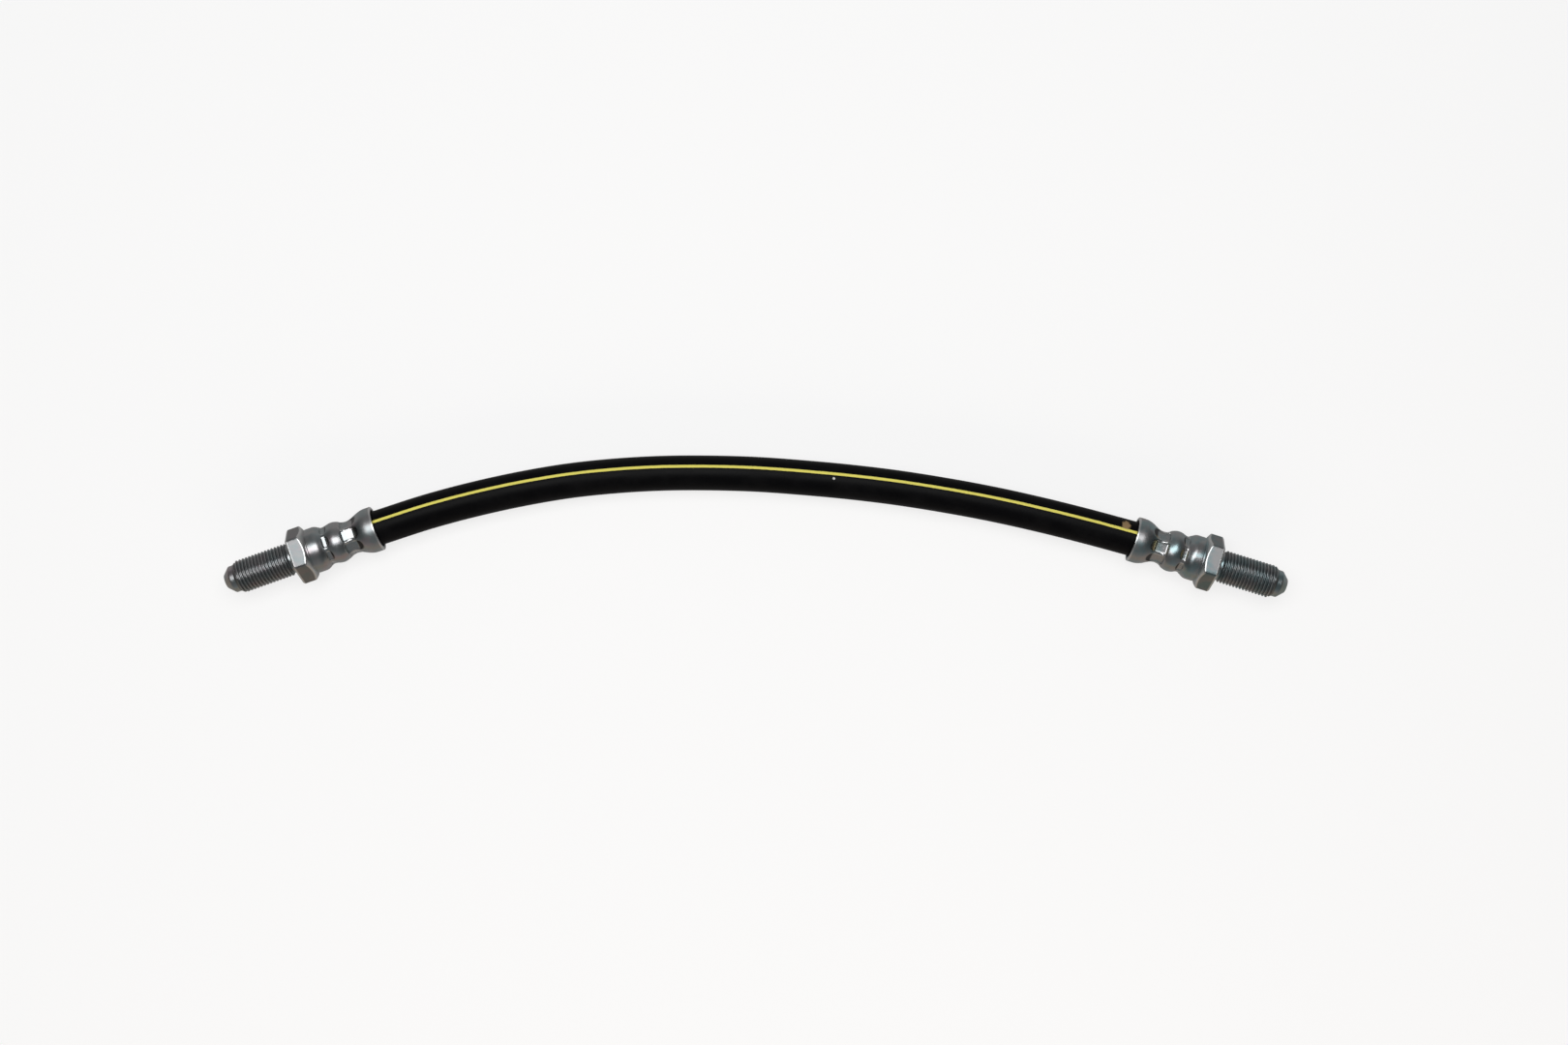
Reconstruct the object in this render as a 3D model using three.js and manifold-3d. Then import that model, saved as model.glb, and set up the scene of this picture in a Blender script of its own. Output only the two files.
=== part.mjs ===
// A brake hose: a reinforced rubber hose crimped into a threaded steel end fitting at each end.
// The hose lies in a gentle bend, its run along X and the outside of the bend towards +Y.
// Lengths are in millimetres, +Z is up, and the floor that it rests on is at z = 0.

import * as THREE from 'three';
import { mergeVertices } from 'three/addons/utils/BufferGeometryUtils.js';
import Module from 'manifold-3d';

const wasm = await Module();
wasm.setup();

// Threaded spigot of each end fitting, M10 x 1 with a right-hand thread
const threadRadius = 4.95;
const threadPitch = 1;
const threadDepth = 0.6;
const threadLength = 16.2;
const threadLeadAngle = THREE.MathUtils.degToRad(38);
const reliefRadius = 4.3;
const reliefWidth = 1.2;

// Sealing end: a 45 degree cone on a short plain pilot
const boreRadius = 1.7;
const tipRadius = 2.05;
const pilotRadius = 4.05;
const pilotLength = 1.4;

// Hexagon
const hexAcrossFlats = 15;
const hexLength = 5.1;
const hexEdgeBreak = 0.45;
const hexCornerTrim = 0.12;
const hexChamferAngle = THREE.MathUtils.degToRad(32);

// Crimped socket, from the hexagon to the bell mouth
const barrelRadius = 6.8;
const barrelLength = 2.3;
const waistOneRadius = 5.75;
const waistOneOffset = 3;
const bulgeRadius = 6.22;
const bulgeOffset = 3.1;
const waistTwoRadius = 5.06;
const waistTwoOffset = 4.4;
const bellRadius = 6.8;
const bellOffset = 6.2;
const mouthLength = 1.9;
const socketWall = 1.05;
const socketFloor = 1.5;
const rimEdge = 0.3;

// Flats pressed by the eight jaws of the crimping tool, with a thin ridge left between them
const jawCount = 8;
const jawWidth = 3.7;
const jawOneApothem = 5.36;
const jawOneLength = 1.1;
const jawOneShift = 0.3;
const jawTwoApothem = 4.74;
const jawTwoLength = 3.4;
const jawTwoShift = 0;
const jawFrontSlope = THREE.MathUtils.degToRad(62);
const jawRearSlope = THREE.MathUtils.degToRad(38);
const jawClear = 3;
const leftCrimpRoll = THREE.MathUtils.degToRad(-3);
const rightCrimpRoll = THREE.MathUtils.degToRad(-7.8);

// Steel insert that the hose is squeezed onto
const insertRadius = 1.8;
const insertBore = 1.2;
const insertNose = 0.4;
const insertSetback = 2;
const collarRadius = 2.7;
const collarLength = 1.2;

// Hose, from its bore outwards
const hoseBore = 1.6;
const linerWall = 0.95;
const innerBraidWall = 0.45;
const cushionWall = 0.3;
const outerBraidWall = 0.5;
const coverWall = 1.25;
const layerGap = 0.05;
const seatGap = 0.05;
const hoseEndGap = 0.1;
const nipRelief = 1.5;

// How finely the round forms are cut
const turnedSides = 24;
const insertSides = 16;
const hoseSides = 12;
const blendSteps = 4;
const cavitySteps = 1;
const freeSteps = 9;

// Centreline of the free hose in its own plane, from the left bell mouth to the right one
const leftHeading = THREE.MathUtils.degToRad(19.8);
const rightHeading = THREE.MathUtils.degToRad(-17.4);
const freeRoute = [
  [-112.9, 7.2],
  [-98, 12.1],
  [-84, 15.9],
  [-70, 19],
  [-56, 21.4],
  [-42, 22.9],
  [-28, 23.7],
  [-14, 23.8],
  [0, 23.4],
  [14, 22.4],
  [28, 21.1],
  [42, 19.4],
  [56, 17.2],
  [70, 14.6],
  [84, 11.5],
  [98, 8],
  [112.7, 4],
];

// Distances along a fitting, measured from its sealing tip
const pilotStart = pilotRadius - tipRadius;
const leadStart = pilotStart + pilotLength;
const reliefStart = leadStart + threadLength;
const threadEnd = reliefStart + threadRadius - reliefRadius;
const hexFront = threadEnd + reliefWidth;
const hexRear = hexFront + hexLength;
const hexCorner = hexAcrossFlats / 2 / Math.cos(Math.PI / 6);
const hexTurnedRadius = hexCorner - hexCornerTrim;
const chamferLength = (hexTurnedRadius - barrelRadius) * Math.tan(hexChamferAngle);
const chamferStart = hexRear - chamferLength;
const barrelEnd = hexRear + barrelLength;
const waistOne = barrelEnd + waistOneOffset;
const bulge = waistOne + bulgeOffset;
const waistTwo = bulge + waistTwoOffset;
const bellStart = waistTwo + bellOffset;
const fittingLength = bellStart + mouthLength;
const cavityStart = hexRear + socketFloor;
const collarSeat = cavityStart - collarLength - seatGap;
const insertEnd = fittingLength - insertSetback;
const hoseEnd = cavityStart + hoseEndGap;
const hoseRadius = hoseBore + linerWall + innerBraidWall + cushionWall + outerBraidWall
  + coverWall + 4 * layerGap;

// The socket's waists and swellings run into each other in smooth half waves
const crimpStations = [
  [barrelEnd, barrelRadius],
  [waistOne, waistOneRadius],
  [bulge, bulgeRadius],
  [waistTwo, waistTwoRadius],
  [bellStart, bellRadius],
];

function blend(from, to, share) {
  return from + (to - from) * (1 - Math.cos(Math.PI * share)) / 2;
}

function crimpProfile(steps) {
  const profile = [];
  for (let i = 0; i < crimpStations.length - 1; i += 1) {
    const [startX, startRadius] = crimpStations[i];
    const [endX, endRadius] = crimpStations[i + 1];
    for (let step = 0; step < steps; step += 1) {
      const share = step / steps;
      profile.push([startX + (endX - startX) * share, blend(startRadius, endRadius, share)]);
    }
  }
  profile.push(crimpStations[crimpStations.length - 1]);
  return profile;
}

const cavityProfile = crimpProfile(cavitySteps)
  .filter(([x]) => x > hoseEnd)
  .map(([x, radius]) => [x, radius - socketWall]);
cavityProfile.unshift([cavityStart, barrelRadius - socketWall]);
cavityProfile.push([fittingLength, bellRadius - socketWall]);

function interpolate(profile, x) {
  const next = Math.max(1, profile.findIndex(([stationX]) => stationX >= x));
  const [startX, startValue] = profile[next - 1];
  const [endX, endValue] = profile[next];
  return startValue + (endValue - startValue) * (x - startX) / (endX - startX);
}

// A closed outline of [distance along the axis, radius], turned about the X axis
function turned(outline, sides, startAngle = 0) {
  const points = outline.map(([x, radius]) => new THREE.Vector2(radius, x));
  points.push(points[0].clone());
  const geometry = new THREE.LatheGeometry(points, sides, startAngle);
  return geometry.rotateZ(-Math.PI / 2);
}

function solidOf(geometry) {
  const bare = geometry.clone();
  bare.deleteAttribute('normal');
  bare.deleteAttribute('uv');
  const merged = mergeVertices(bare, 1e-4);
  const vertProperties = Float32Array.from(merged.attributes.position.array);
  const corners = merged.index.array;
  const triVerts = [];
  for (let i = 0; i < corners.length; i += 3) {
    const [a, b, c] = corners.slice(i, i + 3);
    if (a !== b && b !== c && c !== a) {
      triVerts.push(a, b, c);
    }
  }
  const mesh = new wasm.Mesh({ numProp: 3, vertProperties, triVerts: Uint32Array.from(triVerts) });
  return new wasm.Manifold(mesh);
}

function geometryOf(solid) {
  const mesh = solid.getMesh();
  const geometry = new THREE.BufferGeometry();
  geometry.setAttribute('position', new THREE.BufferAttribute(mesh.vertProperties, mesh.numProp));
  geometry.setIndex(new THREE.BufferAttribute(mesh.triVerts, 1));
  geometry.computeVertexNormals();
  return geometry;
}

// The thread's rings of crests and roots are slid along the axis by the pitch in each turn,
// and fade into the lead-in and the relief
function threadGeometry() {
  const inner = (boreRadius + pilotRadius) / 2;
  const turns = Math.ceil((threadEnd - leadStart) / threadPitch) + 2;
  const outline = [[leadStart - threadPitch, inner]];
  for (let turn = 0; turn < turns; turn += 1) {
    const crest = leadStart + (turn - 1) * threadPitch;
    outline.push([crest, threadRadius], [crest + threadPitch / 2, threadRadius - threadDepth]);
  }
  outline.push([threadEnd + threadPitch, inner]);
  const geometry = turned(outline, turnedSides);
  const ringSize = outline.length + 1;
  const position = geometry.attributes.position;
  for (let i = 0; i < position.count; i += 1) {
    const slide = threadPitch * Math.floor(i / ringSize) / turnedSides;
    const x = THREE.MathUtils.clamp(position.getX(i) + slide, leadStart, threadEnd);
    const leadIn = pilotRadius + (x - leadStart) * Math.tan(threadLeadAngle);
    const runOut = reliefRadius + threadEnd - x;
    const radius = Math.hypot(position.getY(i), position.getZ(i));
    const scale = Math.min(1, leadIn / radius, runOut / radius);
    position.setXYZ(i, x, position.getY(i) * scale, position.getZ(i) * scale);
  }
  return geometry;
}

// Core and socket in one outline: along the outside to the mouth, back through the bore
function fittingBody() {
  const outside = [
    [0, tipRadius],
    [pilotStart, pilotRadius],
    [threadEnd, pilotRadius],
    [threadEnd, reliefRadius],
    [hexFront + hexEdgeBreak, reliefRadius],
    [hexFront + hexEdgeBreak, barrelRadius],
    ...crimpProfile(blendSteps),
    [fittingLength - rimEdge, bellRadius],
    [fittingLength, bellRadius - rimEdge],
  ];
  const inside = [
    ...[...cavityProfile].reverse(),
    [cavityStart, collarRadius + seatGap],
    [collarSeat, collarRadius + seatGap],
    [collarSeat, boreRadius],
    [0, boreRadius],
  ];
  return turned([...outside, ...inside], turnedSides);
}

// The flats face straight up and down, and the rear corners are turned off to a cone
function hexagon() {
  const inner = (boreRadius + reliefRadius) / 2;
  const breakRadius = hexCorner - hexEdgeBreak / Math.cos(Math.PI / 6);
  const prism = turned([
    [hexFront, inner],
    [hexFront, breakRadius],
    [hexFront + hexEdgeBreak, hexCorner],
    [hexRear, hexCorner],
    [hexRear, inner],
  ], 6, Math.PI / 6);
  const envelope = turned([
    [hexFront - hexEdgeBreak, boreRadius],
    [hexFront - hexEdgeBreak, hexTurnedRadius],
    [chamferStart, hexTurnedRadius],
    [hexRear, barrelRadius],
    [hexRear + hexEdgeBreak, boreRadius],
  ], turnedSides);
  return solidOf(prism).intersect(solidOf(envelope));
}

// A jaw's land is a bar with sloping ends, pressed in until it is the apothem from the axis
function jawGeometry(centre, length, apothem, turn) {
  const frontRun = jawClear / Math.tan(jawFrontSlope);
  const rearRun = jawClear / Math.tan(jawRearSlope);
  const side = new THREE.Shape([
    new THREE.Vector2(centre - length / 2, apothem),
    new THREE.Vector2(centre + length / 2, apothem),
    new THREE.Vector2(centre + length / 2 + rearRun, apothem + jawClear),
    new THREE.Vector2(centre - length / 2 - frontRun, apothem + jawClear),
  ]);
  const bar = new THREE.ExtrudeGeometry(side, { depth: jawWidth, bevelEnabled: false });
  return bar.translate(0, 0, -jawWidth / 2).rotateX(turn);
}

function fittingGeometry(roll) {
  let fitting = solidOf(fittingBody());
  for (let jaw = 0; jaw < jawCount; jaw += 1) {
    const turn = roll + 2 * Math.PI * jaw / jawCount;
    const landOne = jawGeometry(waistOne + jawOneShift, jawOneLength, jawOneApothem, turn);
    const landTwo = jawGeometry(waistTwo + jawTwoShift, jawTwoLength, jawTwoApothem, turn);
    fitting = fitting.subtract(solidOf(landOne)).subtract(solidOf(landTwo));
  }
  return geometryOf(fitting.add(hexagon()).add(solidOf(threadGeometry())));
}

function insertGeometry() {
  return turned([
    [collarSeat + seatGap, insertBore],
    [collarSeat + seatGap, collarRadius],
    [cavityStart, collarRadius],
    [cavityStart, insertRadius],
    [insertEnd - insertNose, insertRadius],
    [insertEnd, insertRadius - insertNose],
    [insertEnd, insertBore],
  ], insertSides);
}

// Route of the whole hose: straight in each socket, and a smooth curve between them
const leftAxis = new THREE.Vector3(Math.cos(leftHeading), Math.sin(leftHeading), 0);
const rightAxis = new THREE.Vector3(-Math.cos(rightHeading), -Math.sin(rightHeading), 0);
const freePoints = freeRoute.map(([u, v]) => new THREE.Vector3(u, v, 0));
const leftMouth = freePoints[0];
const rightMouth = freePoints[freePoints.length - 1];
const sleeveLength = fittingLength - hoseEnd;
const leftHoseEnd = leftMouth.clone().addScaledVector(leftAxis, -sleeveLength);
const rightHoseEnd = rightMouth.clone().addScaledVector(rightAxis, -sleeveLength);
const freeCurve = new THREE.CatmullRomCurve3(freePoints);
const route = new THREE.CurvePath();
route.add(new THREE.LineCurve3(leftHoseEnd, leftMouth));
route.add(freeCurve);
route.add(new THREE.LineCurve3(rightMouth, rightHoseEnd));
const hoseLength = route.getLength();
const freeLength = freeCurve.getLength();

// Attitude at rest: the outside of the bend and one corner of each hexagon lie on the floor
function restingDown() {
  const cornerOut = Math.sqrt(hexTurnedRadius ** 2 - (hexAcrossFlats / 2) ** 2);
  const ends = [[leftMouth, leftAxis, 1], [rightMouth, rightAxis, -1]];
  const corners = ends.map(([mouth, axis, side]) => {
    const outwards = new THREE.Vector3(-axis.y * side, axis.x * side, 0);
    const corner = mouth.clone().addScaledVector(axis, chamferStart - fittingLength);
    corner.addScaledVector(outwards, cornerOut);
    corner.z = -hexAcrossFlats / 2;
    return corner;
  });
  const line = corners[0].clone().sub(corners[1]).normalize();
  const samples = freeCurve.getSpacedPoints(200);
  let down = new THREE.Vector3(0, 0.1, -1).normalize();
  for (let turn = 0; turn < 4; turn += 1) {
    const lowest = samples.reduce((low, point) => (point.dot(down) > low.dot(down) ? point : low));
    const across = corners[0].clone().sub(lowest);
    across.addScaledVector(line, -across.dot(line));
    const share = hoseRadius / across.length();
    across.normalize();
    const upright = line.clone().cross(across);
    upright.multiplyScalar(Math.sign(-upright.z) * Math.sqrt(1 - share * share));
    down = across.multiplyScalar(share).add(upright);
  }
  return { down, height: corners[0].dot(down) };
}

const rest = restingDown();
const sectionTurn = Math.atan2(rest.down.y, -rest.down.z);

// Radius of the squeezed hose's bore and outside, at a distance from the fitting's tip
function squeezedBore(x) {
  const onInsert = (insertRadius + seatGap) / Math.cos(Math.PI / hoseSides);
  const share = THREE.MathUtils.clamp((x - insertEnd) / nipRelief, 0, 1);
  return onInsert + (hoseBore - onInsert) * share;
}

function squeezedOutside(x) {
  const cavity = interpolate(cavityProfile, x) * Math.cos(Math.PI / turnedSides);
  return Math.min(hoseRadius, cavity - seatGap);
}

// Distances from the left end of the hose at which its section is drawn
const sleeveStations = [
  0,
  ...cavityProfile.slice(1, -1).map(([x]) => x - hoseEnd),
  insertEnd - hoseEnd,
].sort((a, b) => a - b);
const freeStations = [];
for (let step = 0; step <= freeSteps; step += 1) {
  freeStations.push(sleeveLength + freeLength * step / freeSteps);
}
const hoseStations = [
  ...sleeveStations,
  ...freeStations,
  ...sleeveStations.map((station) => hoseLength - station).reverse(),
];

// A layer of the hose between two radii of the unsqueezed section
function layerGeometry(innerRadius, outerRadius) {
  const radiusAt = (radius, station) => {
    const x = hoseEnd + Math.min(station, hoseLength - station);
    if (x >= fittingLength) {
      return radius;
    }
    const bore = squeezedBore(x);
    const outside = squeezedOutside(x);
    return bore + (radius - hoseBore) * (outside - bore) / (hoseRadius - hoseBore);
  };
  const outline = [
    ...hoseStations.map((station) => new THREE.Vector2(radiusAt(outerRadius, station), station)),
    ...hoseStations.map((station) => new THREE.Vector2(radiusAt(innerRadius, station), station)).reverse(),
  ];
  outline.push(outline[0].clone());
  const geometry = new THREE.LatheGeometry(outline, hoseSides, sectionTurn);
  return bentAlongRoute(geometry);
}

// The straight layer's axis is laid along the route, with its section square to it
function bentAlongRoute(geometry) {
  const position = geometry.attributes.position;
  const up = new THREE.Vector3(0, 0, 1);
  for (let i = 0; i < position.count; i += 1) {
    const share = Math.min(1, position.getY(i) / hoseLength);
    const centre = route.getPoint(share);
    const side = route.getTangent(share).cross(up).normalize();
    centre.addScaledVector(side, position.getX(i)).addScaledVector(up, position.getZ(i));
    position.setXYZ(i, centre.x, centre.y, centre.z);
  }
  geometry.computeVertexNormals();
  return geometry;
}

// Finishes
const platedSteel = new THREE.MeshStandardMaterial({ color: 0x8c9392, roughness: 0.3, metalness: 1 });
const insertSteel = new THREE.MeshStandardMaterial({ color: 0xa3a6a3, roughness: 0.35, metalness: 1 });
const linerRubber = new THREE.MeshStandardMaterial({ color: 0x1d1d1d, roughness: 0.7, metalness: 0 });
const braidYarn = new THREE.MeshStandardMaterial({ color: 0xd8d2c2, roughness: 0.9, metalness: 0 });
const cushionRubber = new THREE.MeshStandardMaterial({ color: 0x242424, roughness: 0.8, metalness: 0 });
const coverRubber = new THREE.MeshStandardMaterial({ color: 0x111214, roughness: 0.5, metalness: 0 });

function named(name, geometry, material) {
  const mesh = new THREE.Mesh(geometry, material);
  mesh.name = name;
  return mesh;
}

// One end: a fitting and its insert, on the axis that leaves the given bell mouth
function hoseEndGroup(side, mouth, axis, roll) {
  const end = new THREE.Group();
  end.add(named(`fitting_${side}`, fittingGeometry(roll), platedSteel));
  end.add(named(`insert_${side}`, insertGeometry(), insertSteel));
  end.position.copy(mouth).addScaledVector(axis, -fittingLength);
  end.rotation.z = Math.atan2(axis.y, axis.x);
  return end;
}

const layerWalls = [
  ['hose_liner', linerWall, linerRubber],
  ['inner_braid', innerBraidWall, braidYarn],
  ['cushion_layer', cushionWall, cushionRubber],
  ['outer_braid', outerBraidWall, braidYarn],
  ['hose_cover', coverWall, coverRubber],
];

function hoseGroup() {
  const hose = new THREE.Group();
  let radius = hoseBore;
  for (const [name, wall, material] of layerWalls) {
    hose.add(named(name, layerGeometry(radius, radius + wall), material));
    radius += wall + layerGap;
  }
  return hose;
}

const leftEnd = hoseEndGroup('left', leftMouth, leftAxis, leftCrimpRoll);
const rightEnd = hoseEndGroup('right', rightMouth, rightAxis, rightCrimpRoll);
const brakeHose = new THREE.Group();
brakeHose.add(leftEnd, rightEnd, hoseGroup());
brakeHose.quaternion.setFromUnitVectors(rest.down, new THREE.Vector3(0, 0, -1));

// The origin lies on the floor under the middle of the two end fittings
const endsBox = new THREE.Box3().setFromObject(leftEnd, true);
endsBox.union(new THREE.Box3().setFromObject(rightEnd, true));
const endsMiddle = endsBox.getCenter(new THREE.Vector3());
brakeHose.position.set(-endsMiddle.x, -endsMiddle.y, rest.height);

export default brakeHose;
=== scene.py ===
import math

import bpy
import numpy as np
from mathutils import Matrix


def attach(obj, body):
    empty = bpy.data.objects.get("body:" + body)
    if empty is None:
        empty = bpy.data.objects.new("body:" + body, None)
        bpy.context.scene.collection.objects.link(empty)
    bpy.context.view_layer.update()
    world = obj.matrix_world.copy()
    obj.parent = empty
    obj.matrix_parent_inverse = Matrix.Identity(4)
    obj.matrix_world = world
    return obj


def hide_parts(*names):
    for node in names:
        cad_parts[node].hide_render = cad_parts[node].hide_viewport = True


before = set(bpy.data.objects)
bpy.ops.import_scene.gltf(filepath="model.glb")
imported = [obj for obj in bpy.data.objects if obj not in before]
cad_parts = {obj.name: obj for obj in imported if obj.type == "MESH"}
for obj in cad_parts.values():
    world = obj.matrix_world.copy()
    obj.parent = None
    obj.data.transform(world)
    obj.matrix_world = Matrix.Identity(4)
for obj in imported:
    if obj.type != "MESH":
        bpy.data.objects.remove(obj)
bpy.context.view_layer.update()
print("frame loaded:", sorted(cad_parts))

millimetre = 0.001  # in metres

# Attitude of the hose's own plane on the floor, and where that plane's zero lies
rest = {
    "turn": (-5.9746, 0.0503, 0.0),  # rotation vector, degrees
    "shift": (-0.1763, -0.0201, 7.7152),  # millimetres
}


def restMatrix():
    # rotation by the length of the turn vector about its own direction
    turn = np.radians(rest["turn"])
    angle = np.linalg.norm(turn)
    x, y, z = turn / angle
    cross = np.array([[0, -z, y], [z, 0, -x], [-y, x, 0]])
    return np.eye(3) + math.sin(angle) * cross + (1 - math.cos(angle)) * cross @ cross


def onFloor(points):
    # points in the hose's plane, in millimetres, turned to rest and given in metres
    return (np.asarray(points, float) @ restMatrix().T + rest["shift"]) * millimetre


class Wire:
    # a shader socket that maths can be written with; other nodes come from NodeTree's node()
    def __init__(self, shader, socket):
        self.shader = shader
        self.socket = socket

    def maths(self, operation, *values):
        inputs = {i: value for i, value in enumerate(values)}
        return self.shader.node("ShaderNodeMath", {"operation": operation}, inputs)

    def __add__(self, other):
        return self.maths("ADD", self, other)

    def __radd__(self, other):
        return self.maths("ADD", other, self)

    def __sub__(self, other):
        return self.maths("SUBTRACT", self, other)

    def __rsub__(self, other):
        return self.maths("SUBTRACT", other, self)

    def __mul__(self, other):
        return self.maths("MULTIPLY", self, other)

    def __rmul__(self, other):
        return self.maths("MULTIPLY", other, self)

    def between(self, low, high):
        # 0 below low, 1 above high, smooth in between
        settings = {"interpolation_type": "SMOOTHSTEP"}
        return self.shader.node("ShaderNodeMapRange", settings, {0: self, 1: low, 2: high})


class NodeTree:
    # the nodes of a material or of the world
    def __init__(self, tree):
        self.tree = tree

    def node(self, kind, settings=None, inputs=None, output=0):
        made = self.tree.nodes.new(kind)
        for key, value in (settings or {}).items():
            setattr(made, key, value)
        for key, value in (inputs or {}).items():
            self.feed(made.inputs[key], value)
        return Wire(self, made.outputs[output])

    def feed(self, socket, value):
        if isinstance(value, Wire):
            self.tree.links.new(value.socket, socket)
        elif hasattr(value, "__len__") and len(value) == 3 and socket.type == "RGBA":
            socket.default_value = (*value, 1)
        else:
            socket.default_value = value

    def attribute(self, name, vector=False):
        settings = {"attribute_name": name}
        return self.node("ShaderNodeAttribute", settings, output=1 if vector else 2)

    def place(self):
        return self.node("ShaderNodeTexCoord", output="Object")

    def stretched(self, vector, scale):
        return self.node("ShaderNodeMapping", None, {0: vector, 3: scale})

    def noise(self, vector, scale, detail=3.0, roughness=0.5):
        inputs = {"Vector": vector, "Scale": scale, "Detail": detail, "Roughness": roughness}
        return self.node("ShaderNodeTexNoise", None, inputs)

    def mix(self, share, first, second):
        # a Mix node's colours are its inputs 6 and 7, and its output 2
        settings = {"data_type": "RGBA"}
        return self.node("ShaderNodeMix", settings, {0: share, 6: first, 7: second}, 2)

    def bump(self, height, distance, strength=1.0, normal=None):
        inputs = {"Height": height, "Distance": distance, "Strength": strength}
        if normal is not None:
            inputs["Normal"] = normal
        return self.node("ShaderNodeBump", None, inputs)


class Shader(NodeTree):
    def __init__(self, name):
        self.material = bpy.data.materials.new(name)
        self.material.use_nodes = True
        super().__init__(self.material.node_tree)
        self.surface = self.tree.nodes["Principled BSDF"]
        self.output = self.tree.nodes["Material Output"]

    def finish(self, **values):
        for name, value in values.items():
            self.feed(self.surface.inputs[name.replace("_", " ")], value)
        return self.material


def gridMesh(name, points, marks):
    # a surface closed both ways: rows follow the outline round, columns go round the axis, and
    # its faces are turned over if the sum of a . (b x c + c x d) over them, its volume, is negative
    rows, columns = points.shape[:2]
    count = rows * columns
    at = np.arange(count).reshape(rows, columns)
    nextRow = np.roll(at, -1, axis=0)
    nextColumn = np.roll(at, -1, axis=1)
    both = np.roll(nextRow, -1, axis=1)
    quads = np.stack([at, nextColumn, both, nextRow], axis=-1).reshape(-1, 4)
    corners = points.reshape(-1, 3)
    a, b, c, d = (corners[quads[:, i]] for i in range(4))
    volume = np.einsum("ij,ij->i", a, np.cross(b, c) + np.cross(c, d)).sum()
    if volume < 0:
        quads = quads[:, ::-1]
    mesh = bpy.data.meshes.new(name)
    mesh.vertices.add(count)
    mesh.vertices.foreach_set("co", corners.astype(np.float32).ravel())
    mesh.loops.add(count * 4)
    mesh.loops.foreach_set("vertex_index", quads.astype(np.int32).ravel())
    mesh.polygons.add(count)
    mesh.polygons.foreach_set("loop_start", np.arange(0, count * 4, 4, dtype=np.int32))
    mesh.update(calc_edges=True)
    # the map is the grid itself, and a face over a seam gets the seam's far side
    row, column = np.divmod(quads, columns)
    wrapsRow = (row.max(axis=1) - row.min(axis=1)) > 1
    wrapsColumn = (column.max(axis=1) - column.min(axis=1)) > 1
    row = np.where(wrapsRow[:, None] & (row == 0), rows, row)
    column = np.where(wrapsColumn[:, None] & (column == 0), columns, column)
    layer = mesh.uv_layers.new(name="UVMap")
    uv = np.stack([column / columns, row / rows], axis=-1)
    layer.data.foreach_set("uv", uv.astype(np.float32).ravel())
    for mark, values in marks.items():
        kind, key = ("FLOAT_VECTOR", "vector") if values.ndim == 3 else ("FLOAT", "value")
        made = mesh.attributes.new(mark, kind, "POINT")
        made.data.foreach_set(key, values.astype(np.float32).ravel())
    mesh.shade_smooth()
    mesh.validate()
    piece = bpy.data.objects.new(name, mesh)
    bpy.context.scene.collection.objects.link(piece)
    return piece


camera = {
    "aim": (0.00836, 0.0088),  # the point of the floor straight below
    "height": 0.5855,
    "lens": 44.44,  # millimetres, as the sensor
    "sensor": 36,
    "clip": (0.01, 20),
}


def makeCamera():
    lens = bpy.data.cameras.new("camera")
    lens.lens = camera["lens"]
    lens.sensor_width = camera["sensor"]
    lens.clip_start, lens.clip_end = camera["clip"]
    holder = bpy.data.objects.new("camera", lens)
    holder.location = (*camera["aim"], camera["height"])
    bpy.context.scene.collection.objects.link(holder)
    bpy.context.scene.camera = holder


makeCamera()
bpy.context.scene.view_settings.view_transform = "Standard"
print("camera made")

# Centreline of the free hose in its own plane, from the left bell mouth to the right one
hoseRoute = {
    "points": [
        (-112.9, 7.2), (-98, 12.1), (-84, 15.9), (-70, 19), (-56, 21.4), (-42, 22.9),
        (-28, 23.7), (-14, 23.8), (0, 23.4), (14, 22.4), (28, 21.1), (42, 19.4),
        (56, 17.2), (70, 14.6), (84, 11.5), (98, 8), (112.7, 4),
    ],
    "leftHeading": 19.8,  # degrees
    "rightHeading": -17.4,
    "perSpan": 24,
}

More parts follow.
